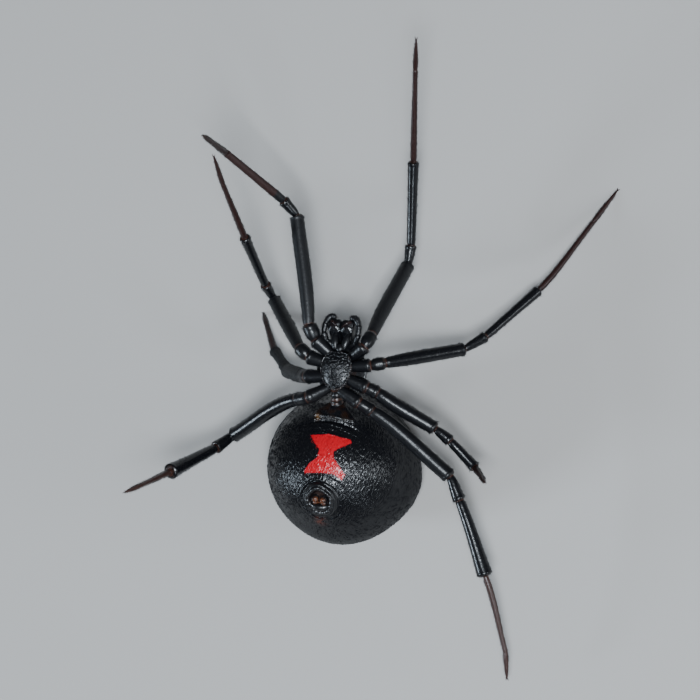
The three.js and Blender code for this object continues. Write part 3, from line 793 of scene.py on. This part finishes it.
foot_maroon, hind_foot_brown = (0.017, 0.0048, 0.0038, 1), (0.034, 0.014, 0.011, 1)
rim_wear, soft_skin = (0.028, 0.015, 0.011, 1), (0.038, 0.013, 0.008, 1)
shin_roughness, hip_dulling, matt_dulling = 0.27, 0.08, 0.2
leg_paint = paint("leg_cuticle", Roughness=shin_roughness, Specular_IOR_Level=0.35)
tree = leg_paint.node_tree
grain = noise(tree, 0.16, 3)
along = mark_of(tree, "along")
foot = step(along + (noise(tree, 0.6, 2) - 0.5) * 0.03, 4.99, 5.03)
colour = mixed(foot, black, mixed(mark_of(tree, "hind"), foot_maroon, hind_foot_brown))
colour = mixed(mark_of(tree, "rim") * step(grain, 0.45, 0.7), colour, rim_wear)
colour = mixed(mark_of(tree, "soft"), colour, soft_skin)
hips = 1 - step(along, 1.8, 2.1)
dullness = shin_roughness + hip_dulling * (hips + foot) + matt_dulling * mark_of(tree, "dull")
feed(leg_paint, Base_Color=colour, Roughness=dullness, Normal=relief(noise(tree, 0.15, 1), 0.012))

leg_forms = {}
for name in leg_poses:
    pair, side = int(name[3]) - 1, 1 if name.endswith("left") else -1
    stations = leg_stations(name, pair, side)
    rings = tube(stations)
    rings[..., 2] = np.maximum(rings[..., 2], floor_gap)
    leg_forms[name] = stations, rings
    spread = np.ones(rings.shape[:2])
    soft, rim, along = (spread * np.array(values)[:, None] for values in list(zip(*stations))[3:])
    start, end, strength = matt_parts.get(name, (0, 0, 0))
    dull = strength * ((along >= start) & (along < end))
    if name == "leg1_right":
        # this leg is maroon from the shin on, and matt there too
        dull = dull + (along > 4)
        along = along + 0.85 * (along > 4)
    leg = closed_skin(name + "_skin", rings, soft=soft, rim=rim, along=along,
                      hind=spread * (pair == 3), dull=dull)
    solids = [f"{name}_{part}" for part in leg_parts if part != "trochanter"]
    fit(leg, leg_paint, "cuticle_black", *solids)


# Claws. Each foot ends in three small curved claws, a pair and a lower one between them, and
# each palp in one. They are hard, polished and dark red-brown, and set in the tip.

claw_root, claw_tip = (0.004, 0.003, 0.003, 1), (0.05, 0.016, 0.008, 1)
claw_girths = np.array((0.13, 0.15, 0.13, 0.1, 0.06, 0.015))
# the side to which each claw of a foot stands, and its length; then that of a palp's claw
foot_claws, palp_claw = ((1, 0.2), (-1, 0.2), (0, 0.13)), 0.13
tip_gap = 0.004
claw_paint = paint("claw_horn", Roughness=0.18)
tint = mixed(mark_of(claw_paint.node_tree, "tips"), claw_root, claw_tip)
feed(claw_paint, Base_Color=tint)


def claw(name, tip, ahead, aside, length):
    """A claw from a tip, bent down under it. aside is how far it stands to a side."""
    down = unit(np.cross(ahead, (1, 0, 0)))
    down *= -np.sign(down[2])
    across = np.cross(ahead, down) * aside
    line = [tip - ahead * 0.06, tip + (ahead * 0.35 + across * 0.3) * length,
            tip + (ahead * 0.8 + across * 0.4 + down * 0.12) * length,
            tip + (ahead + across * 0.4 + down * 0.5) * length]
    rings = rounded_tube(line, claw_girths * length, 10, 14)
    rings[..., 2] = np.maximum(rings[..., 2], tip_gap)
    return closed_skin(name, rings, tips=shares_along(rings))


for name, (stations, rings) in leg_forms.items():
    tip, ahead = stations[-1][:2]
    claws = [claw(f"{name}_claws_{k}", tip, ahead, aside, length)
             for k, (aside, length) in enumerate(foot_claws)]
    with bpy.context.temp_override(active_object=claws[0], selected_editable_objects=claws):
        bpy.ops.object.join()
    claws[0].name = f"{name}_claws"
    fit(claws[0], claw_paint, "claw")
for word, rings in palp_forms.items():
    tip = rings[-1].mean(0)
    ahead = unit(tip - rings[-6].mean(0))
    fit(claw(f"palp_claw_{word}", tip, ahead, 0, palp_claw), claw_paint, "claw")


# Bristles. Short fine hairs stand in rows on the legs and lie back over the abdomen, each a
# slender bent spike set in the skin. They are dark and glossy, and take the red of the
# hourglass where they grow from it.

rng = np.random.default_rng(7)
bristle_black, bristle_red = (0.006, 0.006, 0.008, 1), (0.40, 0.012, 0.016, 1)
bristle_root, root_sink = 0.02, 0.012
# how many are drawn on the abdomen, some of which fall away again, and on each leg
abdomen_bristles, leg_bristles = 8000, 1900
abdomen_bristle_girth, leg_bristle_girth, front_bristle_girth = 0.014, 0.009, 0.007
bristle_paint = paint("bristle", Roughness=0.3, Specular_IOR_Level=0.2)
on_mark = step(mark_of(bristle_paint.node_tree, "hourglass"), -hourglass_fade, hourglass_fade)
feed(bristle_paint, Base_Color=mixed(on_mark, bristle_black, bristle_red))


def bristles(name, roots, ways, normals, lengths, places, girth, hourglass=far_outside):
    """A coat of three-sided bent spikes in millimetres. places are the roots on an unwrap of
    the skin, from 0 to 1; each spike is a small patch there. hourglass is their mark of it."""
    count = len(roots)
    aside = unit(np.cross(ways, normals))
    over = np.cross(aside, ways)
    points = np.empty((count, 7, 3))
    sag = lengths[:, None] * normals * 0.06
    for k, turned in enumerate(np.radians((90, 210, 330))):
        spoke = (math.cos(turned) * aside + math.sin(turned) * over) * girth
        points[:, k] = roots + spoke - ways * bristle_root
        points[:, 3 + k] = roots + spoke * 0.7 + ways * (0.55 * lengths)[:, None] + sag
    points[:, 6] = roots + ways * lengths[:, None] - sag
    points[..., 2] = np.maximum(points[..., 2], tip_gap)
    corners = [(0, 2, 1)]
    for k in range(3):
        n = (k + 1) % 3
        corners += [(k, n, 3 + n), (k, 3 + n, 3 + k), (3 + k, 3 + n, 6)]
    faces = (np.arange(count)[:, None, None] * 7 + np.array(corners)).reshape(-1, 3)
    marks = {"hourglass": np.repeat(np.broadcast_to(hourglass, count), 7)}
    coat = smooth_piece(name, points.reshape(-1, 3), faces.tolist(), marks)
    patch = 0.0015 * np.array(((-1, -1), (1, -1), (0, -1), (-0.7, 0), (0.7, 0), (0, 0), (0, 1)))
    spread = (places[:, None] + patch).reshape(-1, 2)
    unwrap = coat.data.uv_layers.new(name="OFBake")
    unwrap.data.foreach_set("uv", spread[faces.ravel()].astype(np.float32).ravel())
    fit(coat, bristle_paint, "setae")


def laid(ways, normals):
    """The ways laid flat on the skin."""
    return unit(ways - (ways * normals).sum(1)[:, None] * normals)


def leaning(normals, lie, rise):
    """The way a bristle points: along the lie of the coat, raised from the skin by an angle."""
    rise = np.radians(rise)[:, None]
    return np.cos(rise) * laid(lie, normals) + np.sin(rise) * normals


seeds = unit(rng.normal(size=(abdomen_bristles, 3)))
# none grow round the spinnerets, under the waist or where the abdomen rests
clear = (degrees_from(seeds, tail_place) > 15) & (degrees_from(seeds, shoulder_place) > 11)
seeds = seeds[clear & (abdomen_points(seeds)[:, 2] > 0.25)]
roots = abdomen_points(seeds, -0.01)
# they lie back from the waist to the tail, each a little to its own side
waist_axis = towards(*shoulder_place)
lie = tail_axis / (1.02 - seeds @ tail_axis)[:, None] - waist_axis / (1.02 - seeds @ waist_axis)[:, None]
lie = laid(lie, seeds) + rng.normal(size=seeds.shape) * 0.22
normals = seeds @ abdomen_turn.T
ways = leaning(normals, lie @ abdomen_turn.T, rng.uniform(3, 13, len(seeds)))
from_tail = np.radians(degrees_from(seeds, tail_place)) / np.pi
about = np.arctan2(seeds @ tail_fore, seeds @ tail_side)
places = 0.5 + 0.47 * from_tail[:, None] * np.column_stack((np.cos(about), np.sin(about)))
bristles("abdomen_bristles", roots, ways, normals, rng.uniform(0.18, 0.28, len(seeds)), places,
         abdomen_bristle_girth, abdomen_marks(seeds)["hourglass"])

for _, word in both_sides:
    coat = []
    made = [leg_forms[name] for name in leg_forms if name.endswith(word)]
    for row, (stations, rings) in enumerate(made):
        centres, aheads, radii, softness, _, parts = map(np.array, zip(*stations))
        spans = np.linalg.norm(np.gradient(centres, axis=0), axis=1)
        # they stand closest on the feet, and none on the soft skin
        weight = spans * radii * (parts > 0.35) * np.where(parts > 5, 3.0, 1.0) * (1 - softness)
        picks = rng.choice(len(stations), size=leg_bristles, p=weight / weight.sum())
        sides = rings.shape[1]
        turned = rng.integers(0, sides, len(picks))
        normals = unit(rings[picks, turned] - centres[picks])
        roots = rings[picks, turned] + aheads[picks] * rng.uniform(-0.08, 0.08, len(picks))[:, None]
        roots -= normals * root_sink
        ways = leaning(normals, aheads[picks], rng.uniform(18, 42, len(picks)))
        lengths = rng.uniform(0.13, 0.22, len(picks)) * np.where(parts[picks] > 5, 0.85, 1.0)
        arc = np.cumsum(spans) / spans.sum()
        places = np.column_stack((0.02 + 0.96 * arc[picks], (row + 0.05 + 0.9 * turned / sides) / 4))
        keep = roots[:, 2] > 0.12
        coat.append([a[keep] for a in (roots, ways, normals, lengths, places)])
    bristles(f"leg_bristles_{word}", *map(np.concatenate, zip(*coat)), leg_bristle_girth)

# the front of the body is nearly bare: short fine bristles on the breastplate, shield and palps,
# with how many there are and the least and the greatest length
for name, rings, count, low, high in (
        ("shield", head_points(shield_rings), 1500, 0.1, 0.18),
        ("breastplate", head_points(plate_rings), 420, 0.1, 0.17),
        ("palp_left", palp_forms["left"], 500, 0.09, 0.15),
        ("palp_right", palp_forms["right"], 500, 0.09, 0.15)):
    rows, sides = rings.shape[:2]
    around = np.roll(rings, -1, 1) - np.roll(rings, 1, 1)
    along = np.gradient(rings, axis=0)
    patches = np.cross(around, along)
    size = np.linalg.norm(patches, axis=2)
    picks = rng.choice(rows * sides, size=count, p=(size / size.sum()).ravel())
    row, turned = picks // sides, picks % sides
    normals = unit(patches[row, turned])
    on_palp = name.startswith("palp")
    outward = rings[row, turned] - (rings[row].mean(1) if on_palp else rings.mean((0, 1)))
    normals *= np.sign((normals * outward).sum(1))[:, None]
    lie = along[row, turned] * (1 if on_palp else -1)
    ways = leaning(normals, lie + rng.normal(size=lie.shape) * 0.02, rng.uniform(25, 50, count))
    places = np.column_stack((0.02 + 0.96 * row / rows, 0.02 + 0.96 * turned / sides))
    bristles(name + "_bristles", rings[row, turned] - normals * root_sink, ways, normals,
             rng.uniform(low, high, count), places, front_bristle_girth)


# The view and the studio. A long lens looks down on the belly from 300 mm away, a little from
# her left side and from behind; the model lies on a plain pale floor under soft lights.

view_target = Vector((-0.99, -0.64, 9.57)) * MM
view_direction = Vector((0.36988, -0.09050, 0.92466)).normalized()
view_up = Vector((-0.1354, 0.9794, 0.15))
view_distance = 300 * MM
picture_width = 43.75 * MM
sensor_width = 36.0

view_right = view_up.cross(view_direction).normalized()
view_up = view_direction.cross(view_right)
lens = bpy.data.cameras.new("camera")
camera = bpy.data.objects.new("camera", lens)
lens.sensor_width = sensor_width
lens.lens = sensor_width * view_distance / picture_width
lens.clip_start, lens.clip_end = 0.01, 10
turn = Matrix((view_right, view_up, view_direction)).transposed().to_4x4()
camera.matrix_world = Matrix.Translation(view_target + view_direction * view_distance) @ turn
bpy.context.scene.collection.objects.link(camera)
bpy.context.scene.camera = camera

# square soft lights: the way to each, right, up and back in the picture, then its distance and
# size in metres, its power and its colour
soft_lights = {
    "flash": ((-0.02, -0.1, 1.0), 0.33, 0.05, 1.6, (0.84, 0.92, 1.0)),
    "overhead": ((0.1, -0.25, 1.0), 0.45, 0.36, 0.42, (0.8, 0.9, 1.0)),
    "key_light": ((0.78, -0.1, 0.6), 0.40, 0.10, 0.5, (0.88, 0.94, 1.0)),
    "low_left": ((-0.93, -0.28, 0.15), 0.35, 0.08, 0.9, (0.74, 0.87, 1.0)),
    "from_behind": ((0.1, -0.6, 0.8), 0.40, 0.06, 0.35, (0.8, 0.9, 1.0)),
    "low_right": ((0.9, -0.35, 0.2), 0.40, 0.06, 0.3, (0.9, 0.95, 1.0)),
}
for name, (aim, distance, size, power, colour) in soft_lights.items():
    light = bpy.data.lights.new(name, "AREA")
    light.size, light.energy, light.color = size, power, colour
    lamp = bpy.data.objects.new(name, light)
    direction = (view_right * aim[0] + view_up * aim[1] + view_direction * aim[2]).normalized()
    lamp.location = view_target + direction * distance
    lamp.rotation_euler = direction.to_track_quat("Z", "Y").to_euler()
    bpy.context.scene.collection.objects.link(lamp)

world = bpy.data.worlds.new("studio")
world.use_nodes = True
background = world.node_tree.nodes["Background"]
background.inputs["Color"].default_value = (0.62, 0.64, 0.67, 1)
background.inputs["Strength"].default_value = 0.13
bpy.context.scene.world = world

bpy.ops.mesh.primitive_plane_add(size=2.0, location=(0, 0, 0))
floor = bpy.context.object
floor.name = "floor"
paper = paint("pale_floor", Base_Color=(0.36, 0.345, 0.33, 1), Roughness=0.9)
floor.data.materials.append(paper)
